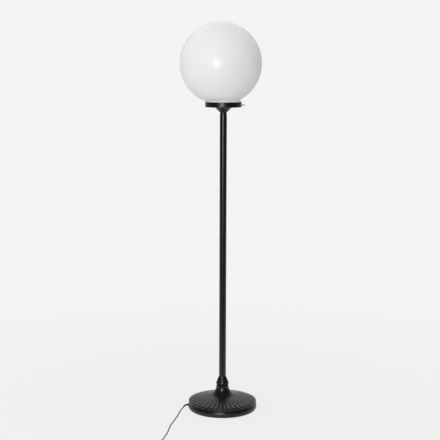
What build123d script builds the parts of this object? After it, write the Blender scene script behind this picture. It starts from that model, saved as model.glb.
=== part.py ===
from build123d import *
import math
import os

# Globe floor lamp: an opal glass globe on a slim tube, over a round cast foot with reeds.
# Millimetres. The origin is on the floor under the tube, +Z is up, +X is to the right of a
# viewer who stands at -Y.

# ---------------------------------------------------------------- driving dimensions

FELT_RADIUS = 146
FELT_THICK = 1.5
PLATE_THICK = 1.5

FOOT_RADIUS = 151.6         # the widest place of the rounded foot band
RIM_RADIUS = 149.6          # the lip above the dark undercut
RIM_HEIGHT = 36.2
FOOT_INNER_RADIUS = 140
DISH_WALL = 5.2
REED_COUNT = 36
REED_START = 64             # where the reeds rise out of the flare
REED_END = 143.4
REED_HEIGHT = 2.7           # at their outer ends
REED_GAP = 1.2              # groove left open between two reeds
NECK_RADIUS = 27.2          # the top of the flare
NECK_TOP = 103
FLARE_RADIUS = 42

COLLAR_TOP = 144
POLE_RADIUS = 15.15
POLE_WALL = 1.5
POLE_BOTTOM = 127.5
POLE_TOP = 1311.4
SHOULDER_LENGTH = 15
SHOULDER_RADIUS = 13.4

GALLERY_RADIUS = 78
GALLERY_WALL = 1.2
GALLERY_BOTTOM = 1332.8
GALLERY_FLOOR = 1334
GALLERY_TOP = 1355.4

GLOBE_RADIUS = 175
GLOBE_WALL = 3
GLOBE_HEIGHT = 1518.5       # of the sphere's centre
GLOBE_SHIFT = -11.5         # the blown sphere stands a little to one side of its neck
GLOBE_NECK_RADIUS = 76

SCREW_HEIGHT = 1342.2
SCREW_RADIUS = 1.6
SCREW_REACH = 92.8
SCREW_ANGLES = (0, 120, 240)

THREAD_RADIUS = 5           # the threaded tubes through the joints, M10
THREAD_BORE = 4
THREAD_FIT = 0.05
SEAT_FIT = 0.1

CORD_RADIUS = 2.5
CORD_GAP = 0.7              # between two turns of the coil
CORD_REST = 0.1             # the cord's underside over the floor
CORD_LOW = CORD_RADIUS + CORD_REST
INLET_HEIGHT = 12           # of the hole in the foot band

os.makedirs("parts", exist_ok=True)


def keep(piece, label):
    """Name a finished piece and write it to its own file."""
    piece.part.label = label
    export_step(piece.part, f"parts/{label}.step")


def outward(angle):
    """The level direction that points away from the tube at this angle from +X."""
    return (math.cos(math.radians(angle)), math.sin(math.radians(angle)), 0)


# ---------------------------------------------------------------- foot

with BuildPart() as felt_pad:
    with BuildSketch(Plane.XY):
        Circle(FELT_RADIUS)
    extrude(amount=FELT_THICK)
keep(felt_pad, "felt_pad")

PLATE_RADIUS = 143.4
PLATE_SCREW_CIRCLE = 132.5
PLATE_SCREW_RADIUS = 2.5
PLATE_SCREW_HEAD = 4.6      # the countersunk head's radius, flush with the plate
PLATE_SCREW_LENGTH = 14
PLATE_TOP = FELT_THICK + PLATE_THICK
LUG_RADIUS = 6.5

with BuildPart() as base_plate:
    with BuildSketch(Plane.XY.offset(FELT_THICK)):
        Circle(PLATE_RADIUS)
    extrude(amount=PLATE_THICK)
    with PolarLocations(PLATE_SCREW_CIRCLE, 3):
        with Locations((0, 0, FELT_THICK)):
            Cone(PLATE_SCREW_HEAD + SEAT_FIT, PLATE_SCREW_RADIUS + SEAT_FIT, PLATE_THICK,
                 align=(Align.CENTER, Align.CENTER, Align.MIN), mode=Mode.SUBTRACT)
keep(base_plate, "base_plate")

WEIGHT_RADIUS = 104
WEIGHT_HOLE = 20
WEIGHT_THICK = 15
WEIGHT_EDGE = 2

with BuildPart() as base_weight:
    with BuildSketch(Plane.XY.offset(PLATE_TOP)):
        Circle(WEIGHT_RADIUS)
        Circle(WEIGHT_HOLE, mode=Mode.SUBTRACT)
    extrude(amount=WEIGHT_THICK)
    chamfer(base_weight.faces().sort_by(Axis.Z)[-1].outer_wire().edges(), WEIGHT_EDGE)
keep(base_weight, "base_weight")

DISH_SLOPE = 0.29
ROD_HOLE = THREAD_RADIUS + SEAT_FIT


def dish_height(radius):
    """The level of the groove bottoms, a straight line that falls to the rim."""
    return RIM_HEIGHT + (REED_END - radius) * DISH_SLOPE


# One reed: low side walls under one broad arc, which widens and rises along a straight crest,
# cut by a turned outline that rounds its outer end down to the rim.

REED_ROOT = 2.4             # how deep a reed is let into the dish
REED_FADE = 0.05            # what is left of its height where it starts
REED_SIDE = 0.35            # the share of its height that the side walls take
REED_PAST_END = 146
REED_END_ROUND = 2.6
reed_growth = REED_HEIGHT / (REED_END - REED_START)

with BuildPart() as reed:
    for radius in (REED_START, REED_PAST_END):
        half_width = math.pi * radius / REED_COUNT - REED_GAP / 2
        level = dish_height(radius)
        height = REED_FADE + (radius - REED_START) * reed_growth
        side = level + REED_SIDE * height
        with BuildSketch(Plane.YZ.offset(radius)):
            with BuildLine():
                crest = ThreePointArc((half_width, side), (0, level + height),
                                      (-half_width, side))
                Polyline(crest @ 1, (-half_width, level - REED_ROOT),
                         (half_width, level - REED_ROOT), crest @ 0)
            make_face()
    loft(ruled=True)
    with BuildSketch(Plane.XZ):
        with BuildLine():
            over = FilletPolyline((REED_START - 1, dish_height(REED_START) + 1),
                                  (REED_END, RIM_HEIGHT + REED_HEIGHT + REED_FADE),
                                  (REED_END, 0), radius=REED_END_ROUND)
            Polyline(over @ 1, (REED_START - 1, 0), over @ 0)
        make_face()
    revolve(axis=Axis.Z, mode=Mode.INTERSECT)

# The casting: a closed outline, outside and inside, turned about the tube's axis. The dish's
# line is the bottom of the grooves, and one large fillet carries it up into the neck.

FOOT_EDGE_RADIUS = 148.4
CAVITY_NECK_RADIUS = 24
CAVITY_TOP = 90
CAVITY_ROUND = 24
INLET_RADIUS = 4
INLET_SEAT_RADIUS = 6.2
INLET_SEAT = 150.6          # how far out the flat for the bushing's flange lies

with BuildPart() as base_casting:
    with BuildSketch(Plane.XZ):
        with BuildLine():
            edge = Polyline((PLATE_RADIUS + SEAT_FIT, FELT_THICK),
                            (FOOT_EDGE_RADIUS, FELT_THICK), (FOOT_EDGE_RADIUS + 1.2, 3))
            band = ThreePointArc(edge @ 1, (FOOT_RADIUS, INLET_HEIGHT), (149.9, 21.4))
            shoulder = ThreePointArc(band @ 1, (149.1, 23.6), (147, 24.8))
            cove = ThreePointArc(shoulder @ 1, (144.9, 28.4), (146.9, 32))
            lip = ThreePointArc(cove @ 1, (RIM_RADIUS, 34.2), (147.8, RIM_HEIGHT))
            rim = Line(lip @ 1, (REED_END, RIM_HEIGHT))
            flare = FilletPolyline(rim @ 1, (NECK_RADIUS, dish_height(NECK_RADIUS)),
                                   (NECK_RADIUS, NECK_TOP - 1), radius=FLARE_RADIUS)
            top = Polyline(flare @ 1, (NECK_RADIUS - 1, NECK_TOP), (ROD_HOLE, NECK_TOP),
                           (ROD_HOLE, CAVITY_TOP), (CAVITY_NECK_RADIUS, CAVITY_TOP))
            cavity = FilletPolyline(
                top @ 1, (CAVITY_NECK_RADIUS, dish_height(CAVITY_NECK_RADIUS) - DISH_WALL),
                (FOOT_INNER_RADIUS, dish_height(FOOT_INNER_RADIUS) - DISH_WALL),
                radius=CAVITY_ROUND)
            Polyline(cavity @ 1, (FOOT_INNER_RADIUS, PLATE_TOP),
                     (PLATE_RADIUS + SEAT_FIT, PLATE_TOP), edge @ 0)
        make_face()
    revolve(axis=Axis.Z)
    with PolarLocations(0, REED_COUNT):
        add(reed.part)
    # Lugs that take the plate's screws hang from the roof of the cavity.
    with PolarLocations(PLATE_SCREW_CIRCLE, 3):
        with Locations((0, 0, PLATE_TOP)):
            Cylinder(LUG_RADIUS, RIM_HEIGHT - PLATE_TOP,
                     align=(Align.CENTER, Align.CENTER, Align.MIN))
            Cylinder(PLATE_SCREW_RADIUS + THREAD_FIT, PLATE_SCREW_LENGTH,
                     align=(Align.CENTER, Align.CENTER, Align.MIN), mode=Mode.SUBTRACT)
    # The cord's hole, with a flat for its bushing.
    with BuildSketch(Plane.YZ.offset(-INLET_SEAT)):
        with Locations((0, INLET_HEIGHT)):
            Circle(INLET_SEAT_RADIUS)
    extrude(amount=-5, mode=Mode.SUBTRACT)
    with BuildSketch(Plane.YZ.offset(-INLET_SEAT)):
        with Locations((0, INLET_HEIGHT)):
            Circle(INLET_RADIUS + SEAT_FIT)
    extrude(amount=INLET_SEAT - FOOT_INNER_RADIUS + 2, mode=Mode.SUBTRACT)
keep(base_casting, "base_casting")

with BuildPart() as base_plate_screws:
    with PolarLocations(PLATE_SCREW_CIRCLE, 3):
        with Locations((0, 0, FELT_THICK)):
            Cone(PLATE_SCREW_HEAD, PLATE_SCREW_RADIUS, PLATE_THICK,
                 align=(Align.CENTER, Align.CENTER, Align.MIN))
            Cylinder(PLATE_SCREW_RADIUS, PLATE_SCREW_LENGTH,
                     align=(Align.CENTER, Align.CENTER, Align.MIN))
keep(base_plate_screws, "base_plate_screws")

# ---------------------------------------------------------------- clamp and collar

WASHER_RADIUS = 18
WASHER_THICK = 2.5
NUT_RADIUS = 8.5            # half of the width across its flats
NUT_THICK = 7
ROD_BOTTOM = 74
ROD_TOP = 148

with BuildPart() as clamp_washer:
    with BuildSketch(Plane.XY.offset(CAVITY_TOP)):
        Circle(WASHER_RADIUS)
        Circle(ROD_HOLE, mode=Mode.SUBTRACT)
    extrude(amount=-WASHER_THICK)
keep(clamp_washer, "clamp_washer")

with BuildPart() as clamp_nut:
    with BuildSketch(Plane.XY.offset(CAVITY_TOP - WASHER_THICK)):
        RegularPolygon(NUT_RADIUS, 6, major_radius=False)
        Circle(THREAD_RADIUS + THREAD_FIT, mode=Mode.SUBTRACT)
    extrude(amount=-NUT_THICK)
keep(clamp_nut, "clamp_nut")

with BuildPart() as tie_rod:
    with BuildSketch(Plane.XY.offset(ROD_BOTTOM)):
        Circle(THREAD_RADIUS)
        Circle(THREAD_BORE, mode=Mode.SUBTRACT)
    extrude(amount=ROD_TOP - ROD_BOTTOM)
keep(tie_rod, "tie_rod")

# The turned collar: a spigot that leaves a dark groove over the neck, a bead, then a hollow
# cone with one fine ring, closed round the tube.

SPIGOT_RADIUS = 25.2
BEAD_BOTTOM = 106.4
BEAD_RADIUS = 27.8
POLE_SEAT = POLE_RADIUS + SEAT_FIT

with BuildPart() as collar:
    with BuildSketch(Plane.XZ):
        with BuildLine():
            foot = Polyline((ROD_HOLE, NECK_TOP), (SPIGOT_RADIUS, NECK_TOP),
                            (SPIGOT_RADIUS, BEAD_BOTTOM))
            bead = ThreePointArc(foot @ 1, (BEAD_RADIUS, 113), (26.9, 119.6))
            hollow = ThreePointArc(bead @ 1, (24.1, 125.2), (21.8, 131))
            ring = ThreePointArc(hollow @ 1, (22.1, 132), (21.3, 132.9))
            cone = ThreePointArc(ring @ 1, (19, 137.6), (16.9, COLLAR_TOP))
            Polyline(cone @ 1, (POLE_SEAT, COLLAR_TOP), (POLE_SEAT, POLE_BOTTOM),
                     (ROD_HOLE, POLE_BOTTOM), foot @ 0)
        make_face()
    revolve(axis=Axis.Z)
keep(collar, "collar")

# ---------------------------------------------------------------- tube and its bushes

POLE_INNER = POLE_RADIUS - POLE_WALL

with BuildPart() as pole:
    with BuildSketch(Plane.XZ):
        with BuildLine():
            outside = Polyline((POLE_INNER, POLE_BOTTOM), (POLE_RADIUS, POLE_BOTTOM),
                               (POLE_RADIUS, POLE_TOP - SHOULDER_LENGTH))
            shoulder = ThreePointArc(outside @ 1, (14.6, POLE_TOP - 6.5),
                                     (SHOULDER_RADIUS, POLE_TOP))
            inside = Line(shoulder @ 1, (SHOULDER_RADIUS - POLE_WALL, POLE_TOP))
            reduced = ThreePointArc(inside @ 1, (14.6 - POLE_WALL, POLE_TOP - 6.5),
                                    (POLE_INNER, POLE_TOP - SHOULDER_LENGTH))
            Line(reduced @ 1, outside @ 0)
        make_face()
    revolve(axis=Axis.Z)
keep(pole, "pole")

BUSH_LENGTH = 20
BUSH_RADIUS = POLE_INNER - SEAT_FIT

with BuildPart() as lower_bush:
    with BuildSketch(Plane.XY.offset(POLE_BOTTOM)):
        Circle(BUSH_RADIUS)
        Circle(THREAD_RADIUS + THREAD_FIT, mode=Mode.SUBTRACT)
    extrude(amount=BUSH_LENGTH)
    chamfer(lower_bush.faces().sort_by(Axis.Z)[-1].outer_wire().edges(), 1)
keep(lower_bush, "lower_bush")

upper_bush_bottom = POLE_TOP - SHOULDER_LENGTH - BUSH_LENGTH

with BuildPart() as upper_bush:
    with BuildSketch(Plane.XY.offset(upper_bush_bottom)):
        Circle(BUSH_RADIUS)
    extrude(amount=BUSH_LENGTH)
    with BuildSketch(Plane.XY.offset(upper_bush_bottom + BUSH_LENGTH)):
        Circle(SHOULDER_RADIUS - POLE_WALL - SEAT_FIT)
    extrude(amount=SHOULDER_LENGTH)
    with Locations((0, 0, upper_bush_bottom)):
        Hole(THREAD_RADIUS + THREAD_FIT)
keep(upper_bush, "upper_bush")

# ---------------------------------------------------------------- cup and gallery

CUP_LIP_RADIUS = 36.4
CUP_LIP_THICK = 2.4
NIPPLE_BOTTOM = 1286
NIPPLE_TOP = 1350.5
GALLERY_VENTS = 6
GALLERY_VENT_RADIUS = 4.5
GALLERY_VENT_CIRCLE = 50
GALLERY_ROUND = 2.4
GALLERY_BEAD = 1.8          # the rolled edge round its mouth

with BuildPart() as stepped_cup:
    with BuildSketch(Plane.XZ):
        with BuildLine():
            under = Polyline((ROD_HOLE, POLE_TOP), (14.2, POLE_TOP), (18.2, 1312.4),
                             (19.6, 1314.8), (21, 1315.3))
            cone = ThreePointArc(under @ 1, (22.7, 1318.9), (25.8, 1321.4))
            ledge = Line(cone @ 1, (28.4, 1321.9))
            bell = ThreePointArc(ledge @ 1, (31.2, 1326.8),
                                 (CUP_LIP_RADIUS - 1.2, GALLERY_BOTTOM - CUP_LIP_THICK))
            Polyline(bell @ 1, (CUP_LIP_RADIUS, GALLERY_BOTTOM - CUP_LIP_THICK / 2),
                     (CUP_LIP_RADIUS, GALLERY_BOTTOM), (ROD_HOLE, GALLERY_BOTTOM),
                     under @ 0)
        make_face()
    revolve(axis=Axis.Z)
keep(stepped_cup, "stepped_cup")

with BuildPart() as gallery:
    with BuildSketch(Plane.XZ):
        with BuildLine():
            outside = FilletPolyline((ROD_HOLE, GALLERY_BOTTOM),
                                     (GALLERY_RADIUS, GALLERY_BOTTOM),
                                     (GALLERY_RADIUS, GALLERY_TOP - GALLERY_BEAD),
                                     radius=GALLERY_ROUND)
            bead = ThreePointArc(
                outside @ 1,
                (GALLERY_RADIUS + GALLERY_BEAD / 2, GALLERY_TOP - GALLERY_BEAD / 2),
                (GALLERY_RADIUS, GALLERY_TOP))
            Polyline(bead @ 1, (GALLERY_RADIUS - GALLERY_WALL, GALLERY_TOP),
                     (GALLERY_RADIUS - GALLERY_WALL, GALLERY_FLOOR),
                     (ROD_HOLE, GALLERY_FLOOR), outside @ 0)
        make_face()
    revolve(axis=Axis.Z)
    with PolarLocations(GALLERY_VENT_CIRCLE, GALLERY_VENTS):
        with Locations((0, 0, GALLERY_FLOOR)):
            Hole(GALLERY_VENT_RADIUS, depth=GALLERY_FLOOR - GALLERY_BOTTOM)
    for angle in SCREW_ANGLES:
        with BuildSketch(Plane(origin=(0, 0, SCREW_HEIGHT), z_dir=outward(angle))):
            Circle(SCREW_RADIUS + SEAT_FIT)
        extrude(amount=GALLERY_RADIUS + 2, mode=Mode.SUBTRACT)
keep(gallery, "gallery")

with BuildPart() as upper_nipple:
    with BuildSketch(Plane.XY.offset(NIPPLE_BOTTOM)):
        Circle(THREAD_RADIUS)
        Circle(THREAD_BORE, mode=Mode.SUBTRACT)
    extrude(amount=NIPPLE_TOP - NIPPLE_BOTTOM)
keep(upper_nipple, "upper_nipple")

GALLERY_WASHER_RADIUS = 14
GALLERY_WASHER_THICK = 1.5
GALLERY_NUT_RADIUS = 7
GALLERY_NUT_THICK = 4

with BuildPart() as gallery_washer:
    with BuildSketch(Plane.XY.offset(GALLERY_FLOOR)):
        Circle(GALLERY_WASHER_RADIUS)
        Circle(ROD_HOLE, mode=Mode.SUBTRACT)
    extrude(amount=GALLERY_WASHER_THICK)
keep(gallery_washer, "gallery_washer")

with BuildPart() as gallery_nut:
    with BuildSketch(Plane.XY.offset(GALLERY_FLOOR + GALLERY_WASHER_THICK)):
        RegularPolygon(GALLERY_NUT_RADIUS, 6, major_radius=False)
        Circle(THREAD_RADIUS + THREAD_FIT, mode=Mode.SUBTRACT)
    extrude(amount=GALLERY_NUT_THICK)
keep(gallery_nut, "gallery_nut")

SCREW_TIP = GLOBE_NECK_RADIUS + 0.3
SCREW_HEAD_START = 80
SCREW_HEAD_RADIUS = 2.4
SCREW_END_RADIUS = 1.4      # the head tapers outwards
SCREW_END_EDGE = 0.4

for number, angle in enumerate(SCREW_ANGLES, start=1):
    screw_plane = Plane(origin=(0, 0, SCREW_HEIGHT), x_dir=outward(angle),
                        z_dir=outward(angle - 90))
    with BuildPart() as thumb_screw:
        with BuildSketch(screw_plane):
            with BuildLine():
                Polyline((SCREW_TIP, 0), (SCREW_TIP, SCREW_RADIUS),
                         (SCREW_HEAD_START, SCREW_RADIUS),
                         (SCREW_HEAD_START, SCREW_HEAD_RADIUS),
                         (SCREW_REACH - SCREW_END_EDGE, SCREW_END_RADIUS),
                         (SCREW_REACH, SCREW_END_RADIUS - SCREW_END_EDGE),
                         (SCREW_REACH, 0), close=True)
            make_face()
        revolve(axis=Axis((0, 0, SCREW_HEIGHT), outward(angle)))
    keep(thumb_screw, f"thumb_screw_{number}")

# ---------------------------------------------------------------- globe

# The sphere and its neck are blown in one piece, so a fillet runs round the seam between
# them. The same form, made smaller by the wall, hollows it and opens the neck's foot.

NECK_FILLET = 3


def blown_form(inset, foot):
    """A sphere on a neck, this far inside the glass's outer face, with its foot at a height."""
    with BuildPart() as form:
        with Locations((GLOBE_SHIFT, 0, GLOBE_HEIGHT)):
            Sphere(GLOBE_RADIUS - inset)
        with BuildSketch(Plane.XY.offset(foot)):
            Circle(GLOBE_NECK_RADIUS - inset)
        extrude(amount=60)
        fillet(form.edges().filter_by(GeomType.BSPLINE), NECK_FILLET + inset)
    return form.part


with BuildPart() as globe:
    add(blown_form(0, GALLERY_FLOOR))
    add(blown_form(GLOBE_WALL, GALLERY_FLOOR - 1), mode=Mode.SUBTRACT)
keep(globe, "globe")

# ---------------------------------------------------------------- lampholder and bulb

HOLDER_CAP_BOTTOM = 1340.5
HOLDER_SPLIT = 1357
HOLDER_TOP = 1394
HOLDER_RADIUS = 19.5
HOLDER_WALL = 2
INSERT_BOTTOM = 1354
INSERT_TOP = 1366
SHELL_RADIUS = 13.5         # inside the brass thread
SHELL_WALL = 0.6
SHELL_TOP = 1391

with BuildPart() as lampholder_cap:
    with BuildSketch(Plane.XZ):
        with BuildLine():
            Polyline((THREAD_RADIUS + THREAD_FIT, HOLDER_CAP_BOTTOM),
                     (8.5, HOLDER_CAP_BOTTOM), (8.5, HOLDER_CAP_BOTTOM + 3),
                     (HOLDER_RADIUS - 3, HOLDER_CAP_BOTTOM + 5),
                     (HOLDER_RADIUS, HOLDER_CAP_BOTTOM + 9), (HOLDER_RADIUS, HOLDER_SPLIT),
                     (HOLDER_RADIUS - HOLDER_WALL, HOLDER_SPLIT),
                     (HOLDER_RADIUS - HOLDER_WALL, NIPPLE_TOP),
                     (THREAD_RADIUS + THREAD_FIT, NIPPLE_TOP), close=True)
        make_face()
    revolve(axis=Axis.Z)
keep(lampholder_cap, "lampholder_cap")

with BuildPart() as lampholder_skirt:
    with BuildSketch(Plane.XY.offset(HOLDER_SPLIT)):
        Circle(HOLDER_RADIUS)
    extrude(amount=HOLDER_TOP - HOLDER_SPLIT)
    chamfer(lampholder_skirt.faces().sort_by(Axis.Z)[-1].edges(), 1)
    with Locations((0, 0, HOLDER_TOP)):
        Hole(HOLDER_RADIUS - HOLDER_WALL)
keep(lampholder_skirt, "lampholder_skirt")

WIRE_HOLE = 2.2
WIRE_HOLE_CIRCLE = 9

with BuildPart() as lampholder_insert:
    with BuildSketch(Plane.XY.offset(INSERT_BOTTOM)):
        Circle(HOLDER_RADIUS - HOLDER_WALL - SEAT_FIT)
        with PolarLocations(WIRE_HOLE_CIRCLE, 2, start_angle=90):
            Circle(WIRE_HOLE, mode=Mode.SUBTRACT)
    extrude(amount=INSERT_TOP - INSERT_BOTTOM)
keep(lampholder_insert, "lampholder_insert")

with BuildPart() as lampholder_thread:
    with BuildSketch(Plane.XY.offset(INSERT_TOP)):
        Circle(SHELL_RADIUS + SHELL_WALL)
        Circle(SHELL_RADIUS, mode=Mode.SUBTRACT)
    extrude(amount=SHELL_TOP - INSERT_TOP)
keep(lampholder_thread, "lampholder_thread")

CONTACT_TOP = 1369.5

with BuildPart() as lampholder_contact:
    with BuildSketch(Plane.XZ):
        with BuildLine():
            Polyline((-9, INSERT_TOP), (-5, INSERT_TOP), (2, CONTACT_TOP - 0.8),
                     (5, CONTACT_TOP - 0.8), (5, CONTACT_TOP), (1.6, CONTACT_TOP),
                     (-5.4, INSERT_TOP + 0.8), (-9, INSERT_TOP + 0.8), close=True)
        make_face()
    extrude(amount=3, both=True)
keep(lampholder_contact, "lampholder_contact")

BULB_BOTTOM = CONTACT_TOP + 0.3
BULB_CAP_RADIUS = 13.2
BULB_CAP_TOP = BULB_BOTTOM + 27
BULB_RADIUS = 30
BULB_TOP = BULB_BOTTOM + 108
BULB_WALL = 1

with BuildPart() as bulb_contact:
    with BuildSketch(Plane.XZ):
        with BuildLine():
            Polyline((0, BULB_BOTTOM), (3.5, BULB_BOTTOM), (5, BULB_BOTTOM + 1.5),
                     (0, BULB_BOTTOM + 1.5), close=True)
        make_face()
    revolve(axis=Axis.Z)
keep(bulb_contact, "bulb_contact")

with BuildPart() as bulb_cap:
    with BuildSketch(Plane.XZ):
        with BuildLine():
            Polyline((0, BULB_BOTTOM + 1.5), (5, BULB_BOTTOM + 1.5),
                     (BULB_CAP_RADIUS - 1, BULB_BOTTOM + 6),
                     (BULB_CAP_RADIUS, BULB_BOTTOM + 7), (BULB_CAP_RADIUS, BULB_CAP_TOP),
                     (BULB_CAP_RADIUS - 1, BULB_CAP_TOP),
                     (BULB_CAP_RADIUS - 1, BULB_BOTTOM + 8), (0, BULB_BOTTOM + 8),
                     close=True)
        make_face()
    revolve(axis=Axis.Z)
keep(bulb_cap, "bulb_cap")


def bulb_outline(inset):
    """The pear-shaped half outline, this far inside the glass's outer face."""
    with BuildSketch(Plane.XZ) as outline:
        with BuildLine():
            top = (0, BULB_TOP - inset)
            equator = (BULB_RADIUS - inset, BULB_TOP - BULB_RADIUS)
            neck = (BULB_CAP_RADIUS - inset, BULB_CAP_TOP)
            crown = TangentArc(top, equator, tangent=(1, 0))
            TangentArc(neck, (19 - inset, BULB_CAP_TOP + 22), tangent=(0.1, 1))
            Spline(crown @ 1, (19 - inset, BULB_CAP_TOP + 22),
                   tangents=((0, -1), (-0.55, -1)))
            Polyline(neck, (0, BULB_CAP_TOP), top)
        make_face()
    return outline.sketch


with BuildPart() as bulb_glass:
    revolve(bulb_outline(0), axis=Axis.Z)
    revolve(bulb_outline(BULB_WALL), axis=Axis.Z, mode=Mode.SUBTRACT)
keep(bulb_glass, "bulb_glass")

# ---------------------------------------------------------------- cord

# A route is given by its corners on the floor. Tangent arcs round them, each taking less than
# half of the shorter run beside it.

CORNER_SHARE = 0.45


def corner_radii(corners):
    """The bend radius at each inner corner, from the runs beside it and how far it turns."""
    points = [Vector(corner) for corner in corners]
    radii = []
    for before, corner, after in zip(points, points[1:], points[2:]):
        arriving, leaving = corner - before, after - corner
        reach = CORNER_SHARE * min(arriving.length, leaving.length)
        half_turn = math.radians(arriving.get_angle(leaving)) / 2
        radii.append(reach / math.tan(half_turn))
    return radii


def report_tube(label, tube, path, section=math.pi * CORD_RADIUS ** 2):
    """Print a tube's length, and its volume against its section times that length."""
    length = sum(edge.length for edge in path.edges())
    share = tube.part.volume / (section * length)
    print(f"{label}: length {length:.0f} mm, volume {share:.4f} of section times length")


def cord_tube(corners, label):
    """A round cord along these corners."""
    radii = corner_radii(corners)
    with BuildPart() as tube:
        with BuildLine() as route:
            FilletPolyline(*corners, radius=radii)
        with BuildSketch(Plane(origin=route.line @ 0, z_dir=route.line % 0)):
            Circle(CORD_RADIUS)
        sweep()
    report_tube(label, tube, route.line)
    print("   radii", " ".join(f"{radius:.0f}" for radius in radii))
    keep(tube, label)


# The strain relief bends in one plane from the foot's side down towards the floor.

STRAIN_BEND = 20
STRAIN_ROOT_RADIUS = 4.4
STRAIN_MOUTH_RADIUS = 3.2
STRAIN_BORE = CORD_RADIUS + 0.1
STRAIN_ROOT = Vector(-153, 0, INLET_HEIGHT)
cord_mouth = Vector(-171.1, -10.7, 7.6)

GLAND_FLANGE = 6
GLAND_STOP = 138.6          # how far out its inner end lies
gland_face = STRAIN_ROOT.X

with BuildPart() as cord_gland:
    with BuildSketch(Plane.YZ.offset(gland_face)):
        with Locations((0, INLET_HEIGHT)):
            Circle(GLAND_FLANGE)
    extrude(amount=-gland_face - INLET_SEAT)
    with BuildSketch(Plane.YZ.offset(-INLET_SEAT)):
        with Locations((0, INLET_HEIGHT)):
            Circle(INLET_RADIUS - THREAD_FIT)
    extrude(amount=INLET_SEAT - GLAND_STOP)
    with BuildLine() as relief_path:
        TangentArc(STRAIN_ROOT, cord_mouth, tangent=(-1, 0, 0))
    with BuildSketch(Plane(origin=STRAIN_ROOT, z_dir=(-1, 0, 0))):
        Circle(STRAIN_ROOT_RADIUS)
    with BuildSketch(Plane(origin=cord_mouth, z_dir=relief_path.line % 1)):
        Circle(STRAIN_MOUTH_RADIUS)
    sweep(path=relief_path.line, multisection=True)
    with BuildLine() as bore_path:
        inside = Line((1 - GLAND_STOP, 0, INLET_HEIGHT), STRAIN_ROOT)
        TangentArc(STRAIN_ROOT, cord_mouth, tangent=(-1, 0, 0))
    with BuildSketch(Plane(origin=inside @ 0, z_dir=(-1, 0, 0))):
        Circle(STRAIN_BORE)
    sweep(path=bore_path.line, mode=Mode.SUBTRACT)
keep(cord_gland, "cord_gland")
mouth_heading = relief_path.line % 1
print("cord mouth heading", mouth_heading)

# Inside the lamp the same flex lies over the weight and climbs the threaded tubes.

FLEX_LEVEL = PLATE_TOP + WEIGHT_THICK + CORD_RADIUS + 0.6
FLEX_TOP = 1352

with BuildPart() as inner_flex:
    with BuildLine() as flex_path:
        TangentArc(STRAIN_ROOT, cord_mouth, tangent=(-1, 0, 0))
        corners = (STRAIN_ROOT, (-128, 0, INLET_HEIGHT), (-111, 0, FLEX_LEVEL),
                   (-60, 0, FLEX_LEVEL), (0, 0, FLEX_LEVEL + 0.5), (0, 0, FLEX_TOP))
        FilletPolyline(*corners, radius=corner_radii(corners))
    with BuildSketch(Plane(origin=cord_mouth, z_dir=-mouth_heading)):
        Circle(CORD_RADIUS)
    sweep(path=flex_path.line)
report_tube("inner_flex", inner_flex, flex_path.line)
keep(inner_flex, "inner_flex")

# The free cord: a lead to the foot switch, then a run, a put-away coil and a tail to the plug.

SWITCH_AXIS_HEIGHT = 7

cord_tube([cord_mouth, (-177.2, -22.9, CORD_LOW), (-183.5, -47, CORD_LOW),
           (-188.6, -82, CORD_LOW), (-196, -130, CORD_LOW), (-206.8, -186, CORD_LOW),
           (-218.3, -240, CORD_LOW), (-224, -294, CORD_LOW), (-229, -346, CORD_LOW),
           (-236.6, -384, CORD_LOW), (-241.2, -410, CORD_LOW), (-247.3, -434.5, 4.6),
           (-252.8, -459.9, SWITCH_AXIS_HEIGHT), (-257.6, -481.3, SWITCH_AXIS_HEIGHT)],
          "cord_lead")

cord_tube([(-281.4, -586.7, SWITCH_AXIS_HEIGHT), (-284.5, -600.4, SWITCH_AXIS_HEIGHT),
           (-279, -615.6, 4.6), (-266.2, -625.6, CORD_LOW), (-250.1, -627.3, CORD_LOW),
           (-235.5, -620.2, CORD_LOW), (-227.3, -606.4, CORD_LOW), (-227.8, -578, CORD_LOW),
           (-227, -558, CORD_LOW), (-227, -541, CORD_LOW)],
          "cord_run")

# The coil: its lower layer winds inwards, climbs in half a turn and winds out again on top.

COIL_CENTRE = Vector(-190, -536)
COIL_RADIUS = 37
COIL_LAYER_TURNS = 3
COIL_CLIMB_TURNS = 0.5
COIL_STEPS = 2              # arc pairs in each turn
COIL_SIDES = 12
COIL_END = 2 * CORD_RADIUS  # the straight length at each end
coil_pitch = 2 * CORD_RADIUS + CORD_GAP
coil_turns = 2 * COIL_LAYER_TURNS + COIL_CLIMB_TURNS


def coil_point(turn):
    """Where the cord's middle is after this many turns, clockwise from the coil's left side."""
    past_middle = max(turn - coil_turns / 2, 0)
    radius = COIL_RADIUS - coil_pitch * (turn - 2 * past_middle)
    angle = math.pi - 2 * math.pi * turn
    climbed = min(max(turn - COIL_LAYER_TURNS, 0) / COIL_CLIMB_TURNS, 1)
    rise = coil_pitch * (1 - math.cos(math.pi * climbed)) / 2
    return Vector(COIL_CENTRE.X + radius * math.cos(angle),
                  COIL_CENTRE.Y + radius * math.sin(angle), CORD_LOW + rise)


def coil_heading(turn):
    """The direction of the cord there."""
    step = 0.0005
    return (coil_point(turn + step) - coil_point(turn - step)).normalized()


def least_gap(path, samples=24):
    """The least distance between the surfaces of two turns, measured on points along a path."""
    points = [edge.position_at(index / samples)
              for edge in path.edges() for index in range(samples)]
    half_turn = 2 * samples
    return min((points[a] - points[b]).length
               for a in range(len(points)) for b in range(a + half_turn, len(points))
               ) - 2 * CORD_RADIUS


def arc_pair_middle(start, heading, end, end_heading):
    """Where two tangent arcs meet that join the start to the end."""
    across = end - start
    both = heading + end_heading
    bend = 2 * (1 - heading.dot(end_heading))
    along = across.dot(both)
    reach = (math.sqrt(along ** 2 + bend * across.dot(across)) - along) / bend
    return (start + end + (heading - end_heading) * reach) / 2


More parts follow.
